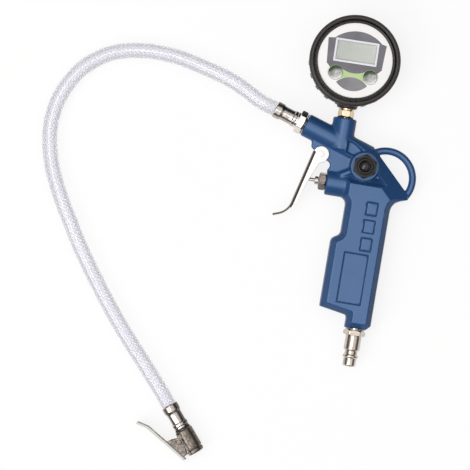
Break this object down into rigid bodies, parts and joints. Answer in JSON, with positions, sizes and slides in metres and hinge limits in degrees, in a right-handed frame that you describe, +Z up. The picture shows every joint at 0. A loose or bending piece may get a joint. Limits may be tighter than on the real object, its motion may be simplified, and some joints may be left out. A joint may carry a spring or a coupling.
{
  "type": "tyre inflator with gauge",
  "caption": "Hand-held tyre inflator: cast pistol grip with trigger, digital gauge in a rubber boot, quick-release air plug, and a hose with a clip-on chuck.",
  "frame": {"origin": "centre of the rear face of the boss under the release valve, on the surface the inflator lies on", "axes": "+Z up from the surface towards the dial, +Y up the grip towards the gauge, +X away from the trigger towards the hanging loop"},
  "size_m": [0.2916, 0.3581, 0.0355],
  "materials": {
    "blue_enamel": "cast aluminium under smooth blue enamel, semi-gloss",
    "chrome": "bright chrome plate",
    "nickel": "satin nickel plate",
    "brass": "turned brass",
    "spring_steel": "bare spring steel",
    "black_plastic": "glossy black plastic",
    "black_rubber": "moulded rubber, matt",
    "seal_rubber": "black seal rubber",
    "grey_plastic": "moulded grey plastic",
    "white_plastic": "white dial, satin",
    "pale_plastic": "pale lilac plastic",
    "display": "grey-green liquid crystal",
    "clear_plastic": "clear, polished",
    "circuit_board": "green board",
    "clear_hose": "clear hose with a white braid"
  },
  "bodies": {
    "gun": {"air_plug": "nickel", "battery_cell": "nickel", "battery_clip": "spring_steel", "battery_cover": "black_plastic", "bezel": "black_plastic", "chuck_body": "nickel", "chuck_depressor": "brass", "chuck_grommet": "seal_rubber", "chuck_lever_pin": "chrome", "chuck_spring": "spring_steel", "chuck_tail": "nickel", "circuit_board": "circuit_board", "dial_panel": "white_plastic", "display_frame": "pale_plastic", "ferrule_chuck": "nickel", "ferrule_gun": "nickel", "fitting_seal": "seal_rubber", "gauge_boot": "black_rubber", "gauge_case": "grey_plastic", "gauge_neck": "brass", "gun_body": "blue_enamel", "hose": "clear_hose", "hose_fitting": "nickel", "key_dome_left": "black_rubber", "key_dome_right": "black_rubber", "lcd_module": "display", "lcd_window": "clear_plastic", "neck_seal": "seal_rubber", "plug_washer": "brass", "pressure_sensor": "spring_steel", "release_spring": "spring_steel", "release_valve_body": "black_plastic", "stem_collar": "chrome", "tail_seal": "seal_rubber", "trigger_pin": "chrome", "valve_nut": "chrome", "valve_seat": "brass", "valve_spring": "spring_steel"},
    "trigger": {"trigger_lever": "chrome"},
    "stem": {"valve_stem": "chrome", "poppet_seal": "seal_rubber"},
    "release": {"release_button": "black_plastic"},
    "key_left": {"key_left": "nickel"},
    "key_right": {"key_right": "nickel"},
    "clip_lever": {"chuck_lever": "nickel"}
  },
  "joints": [
    {"name": "trigger_pivot", "type": "hinge", "parent": "gun", "child": "trigger", "pos_m": [-0.0344, 0.0042, 0.013], "axis": [0, 0, 1], "range_deg": [0, 10], "stiffness_Nm_per_rad": 0.6, "springref_deg": -20.05},
    {"name": "valve_slide", "type": "slide", "parent": "gun", "child": "stem", "axis": [1, 0, 0], "range_m": [0, 0.0039], "deforming": ["valve_spring"]},
    {"name": "release_press", "type": "slide", "parent": "gun", "child": "release", "axis": [0, 0, -1], "range_m": [0, 0.0018], "stiffness_N_per_m": 150, "springref_m": -0.01, "deforming": ["release_spring"]},
    {"name": "key_left_press", "type": "slide", "parent": "gun", "child": "key_left", "axis": [0, 0, -1], "range_m": [0, 0.0009], "stiffness_N_per_m": 300, "springref_m": -0.004, "deforming": ["key_dome_left"]},
    {"name": "key_right_press", "type": "slide", "parent": "gun", "child": "key_right", "axis": [0, 0, -1], "range_m": [0, 0.0009], "stiffness_N_per_m": 300, "springref_m": -0.004, "deforming": ["key_dome_right"]},
    {"name": "chuck_pivot", "type": "hinge", "parent": "gun", "child": "clip_lever", "pos_m": [-0.10559, -0.2328, 0.0074], "axis": [0, 0, -1], "range_deg": [0, 20], "stiffness_Nm_per_rad": 0.05, "springref_deg": -20.05}
  ],
  "couplings": [
    {"joint": "valve_slide", "follows": "trigger_pivot", "m_per_rad": 0.0218}
  ]
}
